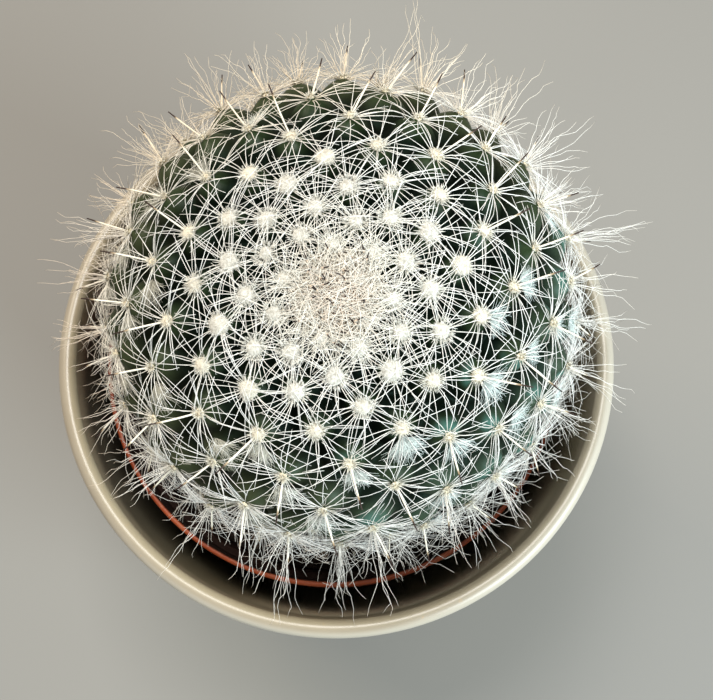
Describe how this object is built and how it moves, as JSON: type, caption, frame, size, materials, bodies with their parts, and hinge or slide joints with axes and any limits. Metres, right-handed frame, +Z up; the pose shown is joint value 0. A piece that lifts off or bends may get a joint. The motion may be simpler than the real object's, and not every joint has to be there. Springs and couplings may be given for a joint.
{
  "type": "potted old lady cactus",
  "caption": "Globular cactus with spiralled tubercles, white spines and long white hairs, growing in a thin nursery pot inside a round glazed cream outer pot.",
  "frame": {"origin": "middle of the outer pot's foot ring, on the surface that it stands on", "axes": "+Z up through the crown, +Y away from the side that the picture looks from, +X to that view's right"},
  "size_m": [0.1, 0.1, 0.1393],
  "materials": {
    "cachepot": "gloss",
    "nursery_pot": "satin",
    "soil": "matte",
    "cactus": "satin",
    "spines": "matte"
  },
  "bodies": {
    "root": {"cachepot": "cachepot", "nursery_pot": "nursery_pot", "soil": "soil", "cactus": "cactus"}
  },
  "joints": []
}
